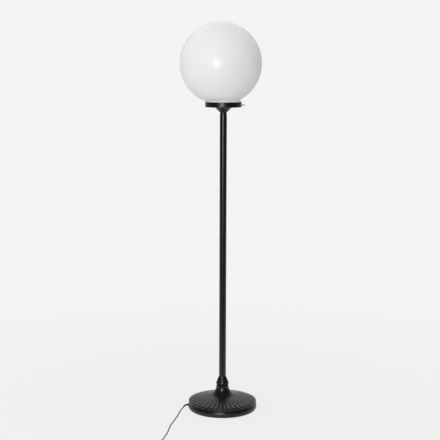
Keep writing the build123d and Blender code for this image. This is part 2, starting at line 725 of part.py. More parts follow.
with BuildPart() as cord_coil:
    with BuildLine() as coil_path:
        start = coil_point(0)
        lead_in = Line(start - Vector(0, COIL_END, 0), start)
        heading = Vector(0, 1, 0)
        for step in range(int(coil_turns * COIL_STEPS)):
            end_turn = (step + 1) / COIL_STEPS
            end = coil_point(end_turn)
            end_heading = coil_heading(end_turn)
            if end_turn == coil_turns:
                end_heading = Vector(0, -1, 0)
            middle = arc_pair_middle(start, heading, end, end_heading)
            first = TangentArc(start, middle, tangent=heading)
            second = TangentArc(middle, end, tangent=first % 1)
            start, heading = end, second % 1
        Line(start, start - Vector(0, COIL_END, 0))
    with BuildSketch(Plane(origin=lead_in @ 0, z_dir=(0, 1, 0))):
        RegularPolygon(CORD_RADIUS, COIL_SIDES)
    sweep()
coil_section = COIL_SIDES / 2 * math.sin(2 * math.pi / COIL_SIDES) * CORD_RADIUS ** 2
report_tube("cord_coil", cord_coil, coil_path.line, coil_section)
print(f"   least gap between turns {least_gap(coil_path.line):.2f} mm")
keep(cord_coil, "cord_coil")
coil_top = start - Vector(0, COIL_END, 0)

PLUG_AXIS_HEIGHT = 7

cord_tube([coil_top, coil_top - Vector(0, 15, 0), (-146.5, -570, PLUG_AXIS_HEIGHT),
           (-135, -582, PLUG_AXIS_HEIGHT)], "cord_tail")

# ---------------------------------------------------------------- foot switch

SWITCH_CENTRE = (-269.5, -534)
SWITCH_HEADING = (-0.22, -0.9755)
SWITCH_LENGTH = 84
SWITCH_WIDTH = 50
SWITCH_BOTTOM = 0.2
SWITCH_SPLIT = 12
SWITCH_TOP = 24
SWITCH_WALL = 2
SWITCH_ROUND = 5
SWITCH_NOZZLE_START = 36
SWITCH_NOZZLE = 54          # how far from the middle the cord goes in
NOZZLE_ROOT_RADIUS = 4.2
NOZZLE_MOUTH_RADIUS = 3.4
BUTTON_RADIUS = 13
BUTTON_FIT = 0.4
BUTTON_TOP = 28
BUTTON_FLANGE_RADIUS = 15.5
BUTTON_FLANGE_BOTTOM = 19
BUTTON_FLANGE_TOP = 21.8
MECHANISM_SIZE = (30, 20)
MECHANISM_TALL = 11
PLUNGER_RADIUS = 4
PLUNGER_TALL = 2
SWITCH_POSTS = ((25, 13), (-25, -13))
SWITCH_POST_RADIUS = 3.4
SWITCH_SCREW_RADIUS = 1.25
SWITCH_SCREW_HEAD_RADIUS = 2.6
SWITCH_SCREW_HEAD_THICK = 1.8
SWITCH_SCREW_SEAT = 3.4
SWITCH_SCREW_END = 19


def switch_plane(height):
    """A level plane over the switch's middle, with its X along the cord."""
    return Plane(origin=(*SWITCH_CENTRE, height), x_dir=(*SWITCH_HEADING, 0), z_dir=(0, 0, 1))


def switch_shell_inside(bottom, top):
    """What hollows a switch shell between two heights, all but its screw posts."""
    with BuildPart() as inside:
        with BuildSketch(switch_plane(bottom)):
            SlotOverall(SWITCH_LENGTH - 2 * SWITCH_WALL, SWITCH_WIDTH - 2 * SWITCH_WALL)
            with Locations(*SWITCH_POSTS):
                Circle(SWITCH_POST_RADIUS, mode=Mode.SUBTRACT)
        extrude(amount=top - bottom)
    return inside.part


with BuildPart() as switch_base:
    with BuildSketch(switch_plane(SWITCH_BOTTOM)):
        SlotOverall(SWITCH_LENGTH, SWITCH_WIDTH)
    extrude(amount=SWITCH_SPLIT - SWITCH_BOTTOM)
    chamfer(switch_base.faces().sort_by(Axis.Z)[0].edges(), 1.2)
    for side in (1, -1):
        nozzle_axis = switch_plane(SWITCH_AXIS_HEIGHT)
        with BuildSketch(Plane(
                origin=nozzle_axis.from_local_coords((side * SWITCH_NOZZLE_START, 0, 0)),
                z_dir=nozzle_axis.x_dir * side)):
            Circle(NOZZLE_ROOT_RADIUS)
        with BuildSketch(Plane(
                origin=nozzle_axis.from_local_coords((side * SWITCH_NOZZLE, 0, 0)),
                z_dir=nozzle_axis.x_dir * side)):
            Circle(NOZZLE_MOUTH_RADIUS)
        loft()
    add(switch_shell_inside(SWITCH_BOTTOM + SWITCH_WALL, SWITCH_SPLIT), mode=Mode.SUBTRACT)
    with BuildSketch(switch_plane(SWITCH_BOTTOM)):
        with Locations(*SWITCH_POSTS):
            Circle(SWITCH_SCREW_HEAD_RADIUS + SEAT_FIT)
    extrude(amount=SWITCH_SCREW_SEAT - SWITCH_BOTTOM, mode=Mode.SUBTRACT)
    with BuildSketch(switch_plane(SWITCH_BOTTOM)):
        with Locations(*SWITCH_POSTS):
            Circle(SWITCH_SCREW_RADIUS + SEAT_FIT)
    extrude(amount=SWITCH_SPLIT, mode=Mode.SUBTRACT)
keep(switch_base, "switch_base")

with BuildPart() as switch_cover:
    with BuildSketch(switch_plane(SWITCH_SPLIT)):
        SlotOverall(SWITCH_LENGTH, SWITCH_WIDTH)
    extrude(amount=SWITCH_TOP - SWITCH_SPLIT)
    fillet(switch_cover.faces().sort_by(Axis.Z)[-1].edges(), SWITCH_ROUND)
    add(switch_shell_inside(SWITCH_SPLIT, SWITCH_TOP - SWITCH_WALL), mode=Mode.SUBTRACT)
    with BuildSketch(switch_plane(SWITCH_SPLIT)):
        Circle(BUTTON_RADIUS + BUTTON_FIT)
        with Locations(*SWITCH_POSTS):
            Circle(SWITCH_SCREW_RADIUS + THREAD_FIT)
    extrude(amount=SWITCH_SCREW_END - SWITCH_SPLIT, mode=Mode.SUBTRACT)
    with BuildSketch(switch_plane(SWITCH_SPLIT)):
        Circle(BUTTON_RADIUS + BUTTON_FIT)
    extrude(amount=SWITCH_TOP, mode=Mode.SUBTRACT)
keep(switch_cover, "switch_cover")

with BuildPart() as switch_button:
    with BuildSketch(switch_plane(BUTTON_FLANGE_BOTTOM)):
        Circle(BUTTON_FLANGE_RADIUS)
    extrude(amount=BUTTON_FLANGE_TOP - BUTTON_FLANGE_BOTTOM)
    with BuildSketch(switch_plane(BUTTON_FLANGE_TOP)):
        Circle(BUTTON_RADIUS)
    extrude(amount=BUTTON_TOP - BUTTON_FLANGE_TOP)
    fillet(switch_button.faces().sort_by(Axis.Z)[-1].edges(), 2)
keep(switch_button, "switch_button")

with BuildPart() as switch_mechanism:
    with BuildSketch(switch_plane(SWITCH_BOTTOM + SWITCH_WALL)):
        Rectangle(*MECHANISM_SIZE)
    extrude(amount=MECHANISM_TALL)
    with BuildSketch(switch_plane(SWITCH_BOTTOM + SWITCH_WALL + MECHANISM_TALL)):
        Circle(PLUNGER_RADIUS)
    extrude(amount=PLUNGER_TALL)
keep(switch_mechanism, "switch_mechanism")

with BuildPart() as switch_screws:
    with BuildSketch(switch_plane(SWITCH_SCREW_SEAT)):
        with Locations(*SWITCH_POSTS):
            Circle(SWITCH_SCREW_HEAD_RADIUS)
    extrude(amount=-SWITCH_SCREW_HEAD_THICK)
    with BuildSketch(switch_plane(SWITCH_SCREW_SEAT)):
        with Locations(*SWITCH_POSTS):
            Circle(SWITCH_SCREW_RADIUS)
    extrude(amount=SWITCH_SCREW_END - SWITCH_SCREW_SEAT - 1)
keep(switch_screws, "switch_screws")

# ---------------------------------------------------------------- plug

# A flat two-pin plug: it lies on its flat side, and the cord goes into its tapered nozzle.

PLUG_NOZZLE_RADIUS = 3.4
PLUG_NOZZLE_LENGTH = 13
PLUG_NOZZLE_END_RADIUS = 4.6
PLUG_LENGTH = 36
PLUG_SHOULDER = 16          # how far the body widens before its straight part
PLUG_THROAT_SIZE = (13, 10)
PLUG_SHOULDER_SIZE = (30, 13)
PLUG_FACE_SIZE = (35.3, 13.7)
PLUG_CORNER = 4
PIN_SPACING = 18.6
PIN_RADIUS = 2
PIN_LENGTH = 19
PIN_END = 0.8
SLEEVE_LENGTH = 10
PIN_CORE_RADIUS = 1.5

plug_heading = Vector(11.5, -12, 0).normalized()
plug_start = Vector(-135, -582, PLUG_AXIS_HEIGHT)


def plug_plane(distance):
    """A plane square to the plug, this far from the nozzle's mouth, with its X level."""
    return Plane(origin=plug_start + plug_heading * distance,
                 x_dir=plug_heading.cross(Vector(0, 0, 1)), z_dir=plug_heading)


with BuildPart() as plug_body:
    with BuildSketch(plug_plane(0)):
        Circle(PLUG_NOZZLE_RADIUS)
    with BuildSketch(plug_plane(PLUG_NOZZLE_LENGTH)):
        Circle(PLUG_NOZZLE_END_RADIUS)
    loft()
    for distance, size in ((PLUG_NOZZLE_LENGTH, PLUG_THROAT_SIZE),
                           (PLUG_NOZZLE_LENGTH + PLUG_SHOULDER, PLUG_SHOULDER_SIZE),
                           (PLUG_NOZZLE_LENGTH + PLUG_LENGTH, PLUG_FACE_SIZE)):
        with BuildSketch(plug_plane(distance)):
            RectangleRounded(*size, PLUG_CORNER)
    loft(ruled=True)
keep(plug_body, "plug_body")

pin_root = PLUG_NOZZLE_LENGTH + PLUG_LENGTH

with BuildPart() as pin_sleeves:
    with BuildSketch(plug_plane(pin_root)):
        with Locations((PIN_SPACING / 2, 0), (-PIN_SPACING / 2, 0)):
            Circle(PIN_RADIUS)
            Circle(PIN_CORE_RADIUS, mode=Mode.SUBTRACT)
    extrude(amount=SLEEVE_LENGTH)
keep(pin_sleeves, "pin_sleeves")

with BuildPart() as plug_pins:
    with BuildSketch(plug_plane(pin_root)):
        with Locations((PIN_SPACING / 2, 0), (-PIN_SPACING / 2, 0)):
            Circle(PIN_CORE_RADIUS)
    extrude(amount=SLEEVE_LENGTH)
    with BuildSketch(plug_plane(pin_root + SLEEVE_LENGTH)):
        with Locations((PIN_SPACING / 2, 0), (-PIN_SPACING / 2, 0)):
            Circle(PIN_RADIUS)
    extrude(amount=PIN_LENGTH - SLEEVE_LENGTH)
    pin_ends = plug_pins.faces().sort_by(Axis(plug_start, plug_heading))[-2:]
    chamfer(pin_ends.edges(), PIN_END)
keep(plug_pins, "plug_pins")
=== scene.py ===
# %% [markdown]
# # A globe floor lamp
#
# The lamp is an opal glass sphere on a slim black tube, over a round cast foot whose top is
# dressed with reeds. Its solids are already made and come in as a fixed frame. This script gives
# them their looks: it replaces the pieces that show with finer ones, and finishes every piece.
# +Z is up, and the viewer stands at -Y. Places in the room are in metres, and the outlines of
# turned forms are in millimetres.

import math

import bmesh
import bpy
from mathutils import Matrix, Vector


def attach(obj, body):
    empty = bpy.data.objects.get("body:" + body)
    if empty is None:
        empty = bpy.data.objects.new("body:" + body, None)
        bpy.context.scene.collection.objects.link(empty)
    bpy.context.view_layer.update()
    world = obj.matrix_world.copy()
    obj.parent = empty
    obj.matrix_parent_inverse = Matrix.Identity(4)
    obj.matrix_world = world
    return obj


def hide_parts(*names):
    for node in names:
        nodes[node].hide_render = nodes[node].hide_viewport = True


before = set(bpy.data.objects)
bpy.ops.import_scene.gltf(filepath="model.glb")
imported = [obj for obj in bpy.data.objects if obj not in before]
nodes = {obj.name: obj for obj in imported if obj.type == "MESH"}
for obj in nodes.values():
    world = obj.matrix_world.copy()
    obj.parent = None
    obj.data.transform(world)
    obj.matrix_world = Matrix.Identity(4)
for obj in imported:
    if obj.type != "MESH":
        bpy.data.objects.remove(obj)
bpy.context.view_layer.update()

# %% [markdown]
# ## The camera
#
# The camera stands where the photographer's did, as high as the middle of the globe and a few
# metres away, and looks a little down. Its focal length is given for a picture that is as wide
# as Blender's own 36 mm sensor.

# %% Camera
PICTURE_WIDTH = 440
FOCAL_PIXELS = 1061
SENSOR_WIDTH = 36
CAMERA_PLACE = (-0.01305, -4.561, 1.515)
CAMERA_TILT_DOWN = 8.36
CAMERA_ROLL = 0.18

camera_data = bpy.data.cameras.new("photo_camera")
camera_data.sensor_width = SENSOR_WIDTH
camera_data.lens = FOCAL_PIXELS / PICTURE_WIDTH * SENSOR_WIDTH
camera = bpy.data.objects.new("photo_camera", camera_data)
bpy.context.scene.collection.objects.link(camera)
level_view = Matrix.Rotation(math.radians(90 - CAMERA_TILT_DOWN), 4, "X")
roll = Matrix.Rotation(math.radians(CAMERA_ROLL), 4, "Z")
camera.matrix_world = Matrix.Translation(CAMERA_PLACE) @ level_view @ roll
bpy.context.scene.camera = camera
print("lens", round(camera_data.lens, 1), "mm")

# %% [markdown]
# ## The flex
#
# The flex is one smooth line that lies on the floor, so it is drawn as a NURBS curve with a
# round bevel. A round edge loop could be swept along the line with bmesh too, but a curve needs
# only the line itself and stays easy to change. The first length runs from the strain relief in
# the foot to the foot switch. The second leaves the switch, is wound into a put-away coil and ends
# in the plug. Routes are lists of given places, and only the coil's turns are worked out.

# %% The two routes
FLEX_RADIUS = 0.0025
FLEX_LOW = 0.0026
SWITCH_AXIS = 0.007

lead_route = [
    (-0.1711, -0.0107, 0.0076), (-0.1772, -0.0229, FLEX_LOW), (-0.1835, -0.047, FLEX_LOW),
    (-0.1886, -0.082, FLEX_LOW), (-0.196, -0.130, FLEX_LOW), (-0.2068, -0.186, FLEX_LOW),
    (-0.2183, -0.240, FLEX_LOW), (-0.224, -0.294, FLEX_LOW), (-0.229, -0.346, FLEX_LOW),
    (-0.2366, -0.384, FLEX_LOW), (-0.2412, -0.410, FLEX_LOW), (-0.2473, -0.4345, 0.0046),
    (-0.2528, -0.4599, SWITCH_AXIS), (-0.2576, -0.4813, SWITCH_AXIS)]

run_route = [
    (-0.2814, -0.5867, SWITCH_AXIS), (-0.2845, -0.6004, SWITCH_AXIS), (-0.279, -0.6156, 0.0046),
    (-0.2662, -0.6256, FLEX_LOW), (-0.2501, -0.6273, FLEX_LOW), (-0.2355, -0.6202, FLEX_LOW),
    (-0.2273, -0.6064, FLEX_LOW), (-0.2278, -0.578, FLEX_LOW), (-0.227, -0.558, FLEX_LOW),
    (-0.227, -0.541, FLEX_LOW)]

COIL_CENTRE = Vector((-0.190, -0.536, FLEX_LOW))
COIL_RADIUS = 0.037
COIL_PITCH = 0.0057
COIL_TURNS = 6.5
COIL_CLIMB_FROM = 3
COIL_CLIMB_TURNS = 0.5
COIL_POINTS = 24            # in each turn


def coil_point(turn):
    """Where the flex is after this many turns: inwards on the floor, then outwards on top."""
    past_middle = max(turn - COIL_TURNS / 2, 0)
    radius = COIL_RADIUS - COIL_PITCH * (turn - 2 * past_middle)
    climbed = min(max(turn - COIL_CLIMB_FROM, 0) / COIL_CLIMB_TURNS, 1)
    angle = math.pi - 2 * math.pi * turn
    rise = COIL_PITCH * (1 - math.cos(math.pi * climbed)) / 2
    return COIL_CENTRE + Vector((radius * math.cos(angle), radius * math.sin(angle), rise))


coil_route = [coil_point(step / COIL_POINTS) for step in range(int(COIL_TURNS * COIL_POINTS) + 1)]
coil_top = FLEX_LOW + COIL_PITCH
tail_route = [(-0.153, -0.541, coil_top), (-0.153, -0.556, coil_top),
              (-0.1465, -0.570, SWITCH_AXIS), (-0.135, -0.582, SWITCH_AXIS)]
print("coil", len(coil_route), "points in", COIL_TURNS, "turns")

# %% Draw a flex along its route


def flex(name, route):
    """A round flex: an open spline with the route as its control points.

    The bevel is one metre deep, and the radius of each point brings it down to the flex's own.
    """
    curve = bpy.data.curves.new(name, "CURVE")
    curve.dimensions = "3D"
    curve.bevel_depth = 1
    curve.bevel_resolution = 5
    curve.use_fill_caps = True
    spline = curve.splines.new("NURBS")
    spline.points.add(len(route) - 1)
    for point, place in zip(spline.points, route):
        point.co = (*place, 1)
        point.radius = FLEX_RADIUS
    spline.order_u = 3
    spline.use_endpoint_u = True
    spline.resolution_u = 8
    piece = bpy.data.objects.new(name, curve)
    bpy.context.scene.collection.objects.link(piece)
    return piece


flex_to_switch = flex("flex_to_switch", lead_route)
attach(flex_to_switch, "stand")
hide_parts("cord_lead")

flex_to_plug = flex("flex_to_plug", run_route + coil_route + tail_route)
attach(flex_to_plug, "stand")
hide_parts("cord_run", "cord_coil", "cord_tail")
print("flex points", len(lead_route), len(run_route + coil_route + tail_route))

# %% [markdown]
# ## Finishes
#
# Every finish is a small node tree. The first helper makes a Principled shader with its constant
# values set on its own sockets. The others let a noise raise the surface a little, or move its
# roughness or its colour, because no real paint, glass or casting is perfectly even. A picture of
# each surface could do the same, but noise needs no picture and shows no seam.

# %% Helpers for finishes
NOISE_SPAN = (0.35, 0.65)    # most of a noise's values lie between these


def finish(name, colour, roughness, **sockets):
    """A new material with one Principled shader. Returns the material and the shader."""
    material = bpy.data.materials.new(name)
    material.use_nodes = True
    shader = material.node_tree.nodes["Principled BSDF"]
    shader.inputs["Base Color"].default_value = (*colour, 1)
    shader.inputs["Roughness"].default_value = roughness
    for socket, value in sockets.items():
        shader.inputs[socket.replace("_", " ")].default_value = value
    return material, shader


def noise(material, scale, detail=3):
    """A noise on the piece's own coordinates, scale being lumps in a metre."""
    tree = material.node_tree
    place = tree.nodes.new("ShaderNodeTexCoord")
    texture = tree.nodes.new("ShaderNodeTexNoise")
    texture.inputs["Scale"].default_value = scale
    texture.inputs["Detail"].default_value = detail
    tree.links.new(place.outputs["Object"], texture.inputs["Vector"])
    return texture


def add_bump(material, shader, texture, strength, depth):
    """Let a texture raise the surface by this depth in metres."""
    tree = material.node_tree
    bump = tree.nodes.new("ShaderNodeBump")
    bump.inputs["Strength"].default_value = strength
    bump.inputs["Distance"].default_value = depth
    tree.links.new(texture.outputs["Fac"], bump.inputs["Height"])
    tree.links.new(bump.outputs["Normal"], shader.inputs["Normal"])


def graded(tree, value, span, levels):
    """A number that goes from one level to the other while the value goes over its span."""
    node = tree.nodes.new("ShaderNodeMapRange")
    for socket, number in zip(("From Min", "From Max", "To Min", "To Max"), (*span, *levels)):
        node.inputs[socket].default_value = number
    tree.links.new(value, node.inputs["Value"])
    return node.outputs["Result"]


def spread_roughness(material, shader, texture, low, high):
    """Let a texture move the roughness between two values."""
    tree = material.node_tree
    roughness = graded(tree, texture.outputs["Fac"], NOISE_SPAN, (low, high))
    tree.links.new(roughness, shader.inputs["Roughness"])


def tint(material, shader, texture, dark, light):
    """Let a texture move the base colour between two colours."""
    tree = material.node_tree
    ramp = tree.nodes.new("ShaderNodeValToRGB")
    for stop, position, colour in zip(ramp.color_ramp.elements, NOISE_SPAN, (dark, light)):
        stop.position = position
        stop.color = (*colour, 1)
    tree.links.new(texture.outputs["Fac"], ramp.inputs["Fac"])
    tree.links.new(ramp.outputs["Color"], shader.inputs["Base Color"])


print("helpers for finishes are ready")

# %% [markdown]
# ### Black paint
#
# The metalwork is painted in a satin black. The paint is a thin dark film with a soft sheen, and
# it has the faint orange-peel waviness of a sprayed coat, which is a fine bump here. A clear coat
# over a matt colour could make it too, but this paint has its gloss in one film. Its roughness
# wanders a little, so that a long highlight on the tube isn't perfectly even.

# %% Black paint
black_paint, shader = finish("black_paint", (0.0035, 0.0035, 0.0036), 0.33,
                             Specular_IOR_Level=0.45)
tint(black_paint, shader, noise(black_paint, 35), (0.003, 0.003, 0.0031),
     (0.0045, 0.0043, 0.0045))
spread_roughness(black_paint, shader, noise(black_paint, 60), 0.3, 0.36)
add_bump(black_paint, shader, noise(black_paint, 900), 0.35, 0.00004)
print(black_paint.name, "is ready")

# %% [markdown]
# ### Cast black
#
# The foot is a casting under the same paint. Sand leaves a casting's skin a little coarser than a
# drawn tube's, so its bump has larger lumps and more detail, and its grey wanders more widely.

# %% Cast black
cast_black, shader = finish("cast_black", (0.005, 0.0046, 0.0047), 0.33,
                            Specular_IOR_Level=0.45)
tint(cast_black, shader, noise(cast_black, 24), (0.004, 0.0037, 0.0039),
     (0.0075, 0.0066, 0.0068))
spread_roughness(cast_black, shader, noise(cast_black, 80), 0.29, 0.37)
add_bump(cast_black, shader, noise(cast_black, 420, detail=5), 0.4, 0.00009)
print(cast_black.name, "is ready")

# %% [markdown]
# ### Opal glass
#
# Opal glass is white all through, with a satin skin on this globe. Light goes a little way in and
# comes out softened, which Subsurface does. Transmission would let the lampholder show through,
# and opal glass hides it. The skin mirrors softly: a medium roughness and a low specular level
# spread the lamp's image into one soft patch. Blown glass is never quite even, so a very broad,
# very shallow bump bends that patch a little.

# %% Opal glass
opal_glass, shader = finish("opal_glass", (0.86, 0.863, 0.87), 0.3, IOR=1.5,
                            Specular_IOR_Level=0.3, Subsurface_Weight=0.25,
                            Subsurface_Scale=0.02)
shader.inputs["Subsurface Radius"].default_value = (1.0, 0.95, 0.9)
tint(opal_glass, shader, noise(opal_glass, 5, detail=1), (0.85, 0.855, 0.866),
     (0.87, 0.873, 0.878))
add_bump(opal_glass, shader, noise(opal_glass, 9, detail=1), 0.25, 0.0006)
print(opal_glass.name, "is ready")

# %% [markdown]
# ### The flex and the mouldings
#
# The flex has a soft sheath of plastic that is greyer than the moulded strain relief, switch and
# plug. Both are one dark colour with a wide, dull gloss, so what sets them apart is their grey
# and the grain of their bump.

# %% Flex and mouldings
flex_sheath, shader = finish("flex_sheath", (0.055, 0.055, 0.06), 0.5, Specular_IOR_Level=0.4)
tint(flex_sheath, shader, noise(flex_sheath, 120), (0.045, 0.045, 0.049), (0.068, 0.067, 0.072))
add_bump(flex_sheath, shader, noise(flex_sheath, 2600), 0.12, 0.00002)

black_moulding, shader = finish("black_moulding", (0.02, 0.02, 0.021), 0.45)
spread_roughness(black_moulding, shader, noise(black_moulding, 90), 0.4, 0.52)
add_bump(black_moulding, shader, noise(black_moulding, 2200), 0.4, 0.00004)

for piece in (flex_to_switch, flex_to_plug):
    piece.data.materials.append(flex_sheath)
print(flex_sheath.name, "on both lengths,", black_moulding.name, "is ready")

# %% [markdown]
# ### Metals inside the lamp
#
# What holds the lamp together isn't painted: plated steel, a raw iron ballast, brass contacts and
# an aluminium bulb cap. Bare metal has no colour under its gloss, so Metallic is 1 and the base
# colour is that of the mirror image. The rough ballast is part rust and scale, so it is less.

# %% Metals
plated_steel, shader = finish("plated_steel", (0.58, 0.57, 0.55), 0.32, Metallic=1.0)
tint(plated_steel, shader, noise(plated_steel, 150), (0.50, 0.49, 0.46), (0.64, 0.63, 0.61))
add_bump(plated_steel, shader, noise(plated_steel, 700), 0.3, 0.00003)

raw_iron, shader = finish("raw_iron", (0.09, 0.088, 0.085), 0.7, Metallic=0.6)
tint(raw_iron, shader, noise(raw_iron, 60, detail=6), (0.06, 0.058, 0.055), (0.13, 0.12, 0.11))
add_bump(raw_iron, shader, noise(raw_iron, 300, detail=6), 0.6, 0.0002)

brass, shader = finish("brass", (0.68, 0.48, 0.20), 0.28, Metallic=1.0)
tint(brass, shader, noise(brass, 200), (0.58, 0.40, 0.16), (0.74, 0.54, 0.25))
add_bump(brass, shader, noise(brass, 900), 0.3, 0.00002)

cap_metal, shader = finish("cap_metal", (0.72, 0.72, 0.73), 0.3, Metallic=1.0)
tint(cap_metal, shader, noise(cap_metal, 220), (0.66, 0.66, 0.68), (0.78, 0.78, 0.78))
add_bump(cap_metal, shader, noise(cap_metal, 1000), 0.25, 0.00002)
print("four metals are ready")

# %% [markdown]
# ### Ceramic, bulb glass and felt
#
# The lampholder's middle is a white ceramic, the bulb is frosted, and the foot stands on felt.
# The bulb's glass lets light through, but its rough skin blurs what is behind it. Felt could be
# made of hairs, but they would never be seen, so a coarse bump and a little sheen do.

# %% Ceramic, bulb glass and felt
white_ceramic, shader = finish("white_ceramic", (0.78, 0.77, 0.73), 0.55)
tint(white_ceramic, shader, noise(white_ceramic, 180), (0.72, 0.71, 0.67), (0.82, 0.81, 0.78))
add_bump(white_ceramic, shader, noise(white_ceramic, 1200), 0.4, 0.00005)

frosted_glass, shader = finish("frosted_glass", (0.88, 0.88, 0.86), 0.45, IOR=1.5,
                               Transmission_Weight=0.6)
add_bump(frosted_glass, shader, noise(frosted_glass, 3000), 0.3, 0.00002)

black_felt, shader = finish("black_felt", (0.02, 0.02, 0.02), 0.95, Sheen_Weight=0.4)
tint(black_felt, shader, noise(black_felt, 900, detail=6), (0.012, 0.012, 0.012),
     (0.035, 0.035, 0.035))
add_bump(black_felt, shader, noise(black_felt, 2500, detail=6), 0.8, 0.0003)
print("ceramic, bulb glass and felt are ready")

# %% [markdown]
# ### Which solid has which finish
#
# Every solid of the frame gets its real finish, also where a finer piece will stand for it, so
# that the lamp looks right with or without the pieces that follow.

# %% Give the solids their finishes


def give(material, *names):
    """Put a finish on some of the frame's own nodes."""
    for name in names:
        mesh = nodes[name].data
        mesh.materials.clear()
        mesh.materials.append(material)
    print(material.name, "on", ", ".join(names))


give(plated_steel, "base_plate", "base_plate_screws", "clamp_washer", "clamp_nut", "tie_rod",
     "lower_bush", "upper_bush", "gallery_washer", "gallery_nut", "upper_nipple",
     "switch_screws")
give(raw_iron, "base_weight")
give(brass, "lampholder_thread", "lampholder_contact", "bulb_contact", "plug_pins")
give(cap_metal, "bulb_cap")
give(white_ceramic, "lampholder_insert")
give(frosted_glass, "bulb_glass")
give(black_felt, "felt_pad")
give(black_paint, "collar", "pole", "stepped_cup", "gallery", "thumb_screw_1",
     "thumb_screw_2", "thumb_screw_3")
give(cast_black, "base_casting")
give(opal_glass, "globe")
give(black_moulding, "cord_gland", "switch_base", "switch_cover", "switch_button",
     "switch_mechanism", "plug_body", "pin_sleeves", "lampholder_cap", "lampholder_skirt")
give(flex_sheath, "inner_flex", "cord_lead", "cord_run", "cord_coil", "cord_tail")

# %% [markdown]
# ## Turned forms
#
# Nearly all of the lamp's metalwork is turned or spun, and its glass is blown round an axis, so
# one helper makes most pieces: the outline is drawn as a closed line of vertices beside the
# tube's axis, some of its corners are rounded with a vertex bevel, and the Spin operator carries
# the line round. Outlines are given in millimetres, as a turner's drawing would be.

# %% Helpers for turned forms
MM = 0.001
MERGE_WITHIN = 0.002        # millimetres, for a seam's or a pole's doubled vertices
ROUNDING_STEPS = 10


def arc(start, middle, end, steps):
    """Points of an outline along the arc through three points, both ends among them."""
    a, b, c = Vector(start), Vector(middle), Vector(end)
    across = Vector((b.y - a.y, a.x - b.x))
    reach = (c - b).dot(c - a) / (2 * across.dot(c - a))
    centre = (a + b) / 2 + across * reach
    turn = 2 * (b - a).angle_signed(c - b)
    return [tuple(centre + Matrix.Rotation(-turn * step / steps, 2) @ (a - centre))
            for step in range(steps + 1)]


def outline_form(outline, roundings=()):
    """A closed line of vertices beside the axis. A rounding cuts a corner back and curves it."""
    form = bmesh.new()
    corners = [form.verts.new((radius * MM, 0, height * MM)) for radius, height in outline]
    for corner, following in zip(corners, corners[1:] + corners[:1]):
        form.edges.new((corner, following))
    for index, cut_back in roundings:
        bmesh.ops.bevel(form, geom=[corners[index]], offset=cut_back * MM, offset_type="OFFSET",
                        segments=ROUNDING_STEPS, profile=0.5, affect="VERTICES", material=-1)
    return form


def spin_round(form, steps=96):
    """Carry the outline round the tube's axis, and close its seam and poles."""
    bmesh.ops.spin(form, geom=form.verts[:] + form.edges[:], axis=(0, 0, 1), cent=(0, 0, 0),
                   steps=steps, angle=2 * math.pi, use_merge=True)
    bmesh.ops.remove_doubles(form, verts=form.verts, dist=MERGE_WITHIN * MM)
    bmesh.ops.recalc_face_normals(form, faces=form.faces)


print("helpers for turned forms are ready")

# %% [markdown]
# ### From a form to a piece
#
# A bmesh is only a sketch of a form. It becomes a piece when it is written into a mesh with an
# object of its own. Most of these surfaces are round, so their faces are shaded smooth, and only
# edges that are sharper than a given angle stay crisp. A piece then rides on the body that carries
# it, stands for one or more solids, and gets its finish.

# %% Helpers for pieces


def settle(name, form, sharp=35):
    """Close a bmesh into a new piece that is shaded smooth except along its sharp edges."""
    data = bpy.data.meshes.new(name)
    form.to_mesh(data)
    form.free()
    data.shade_smooth()
    data.set_sharp_from_angle(angle=math.radians(sharp))
    piece = bpy.data.objects.new(name, data)
    bpy.context.scene.collection.objects.link(piece)
    print(name, len(data.polygons), "faces")
    return piece


def stands_for(piece, body, material, slot, *solids):
    """Let a finished piece ride on its body in the place of these solids."""
    piece.data.materials.append(material)
    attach(piece, body)
    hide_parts(*solids)


print("helpers for pieces are ready")

# %% [markdown]
# ## The cast foot
#
# The foot is one casting: a rounded band that stands on the floor, a dark undercut over it, a
# lip, and a shallow dish that flares up into the neck. The real one is poured in sand. Here it is
# turned like the rest, from the floor up over the outside and back down its hollow inside, because
# all of it but the reeds is round. The sharp corner where dish and neck meet is cut back far and
# rounded, which makes the flare. The reeds are made after it.

# %% The foot's turned form
BORE_RADIUS = 5.1           # the passage for the flex
FOOT_TOP = 103
BAND_INSIDE = 143.5
RIM_HEIGHT = 36.2
REED_START = 64
REED_END = 143.4
NECK_RADIUS = 27.2
NECK_BORE = 24
DISH_SLOPE = 0.29
DISH_WALL = 5.2
DISH_INSIDE = 140
BAND_FOOT = 1.5
RECESS_TOP = 3              # of the recess that the base plate lies in
NECK_CEILING = 90
FLARE_CUT = 31.5
INNER_FLARE_CUT = 15


def dish_height(radius):
    """The level of the groove bottoms, a straight line that falls to the rim."""
    return RIM_HEIGHT + (REED_END - radius) * DISH_SLOPE


foot_outline = [(BAND_INSIDE, BAND_FOOT), (148.4, BAND_FOOT)]
foot_outline += arc((149.6, 3), (151.6, 12), (149.9, 21.4), steps=12)
foot_outline += arc((149.9, 21.4), (149.1, 23.6), (147, 24.8), steps=5)[1:]
foot_outline += arc((147, 24.8), (144.9, 28.4), (146.9, 32), steps=8)[1:]
foot_outline += arc((146.9, 32), (149.6, 34.2), (147.8, RIM_HEIGHT), steps=8)[1:]
flare_corner = len(foot_outline) + 1
foot_outline += [(REED_END, RIM_HEIGHT), (NECK_RADIUS, dish_height(NECK_RADIUS)),
                 (NECK_RADIUS, FOOT_TOP - 1), (NECK_RADIUS - 1, FOOT_TOP), (BORE_RADIUS, FOOT_TOP),
                 (BORE_RADIUS, NECK_CEILING), (NECK_BORE, NECK_CEILING),
                 (NECK_BORE, dish_height(NECK_BORE) - DISH_WALL),
                 (DISH_INSIDE, dish_height(DISH_INSIDE) - DISH_WALL),
                 (DISH_INSIDE, RECESS_TOP), (BAND_INSIDE, RECESS_TOP)]
inner_flare_corner = flare_corner + 6
foot = outline_form(foot_outline,
                    [(flare_corner, FLARE_CUT), (inner_flare_corner, INNER_FLARE_CUT)])
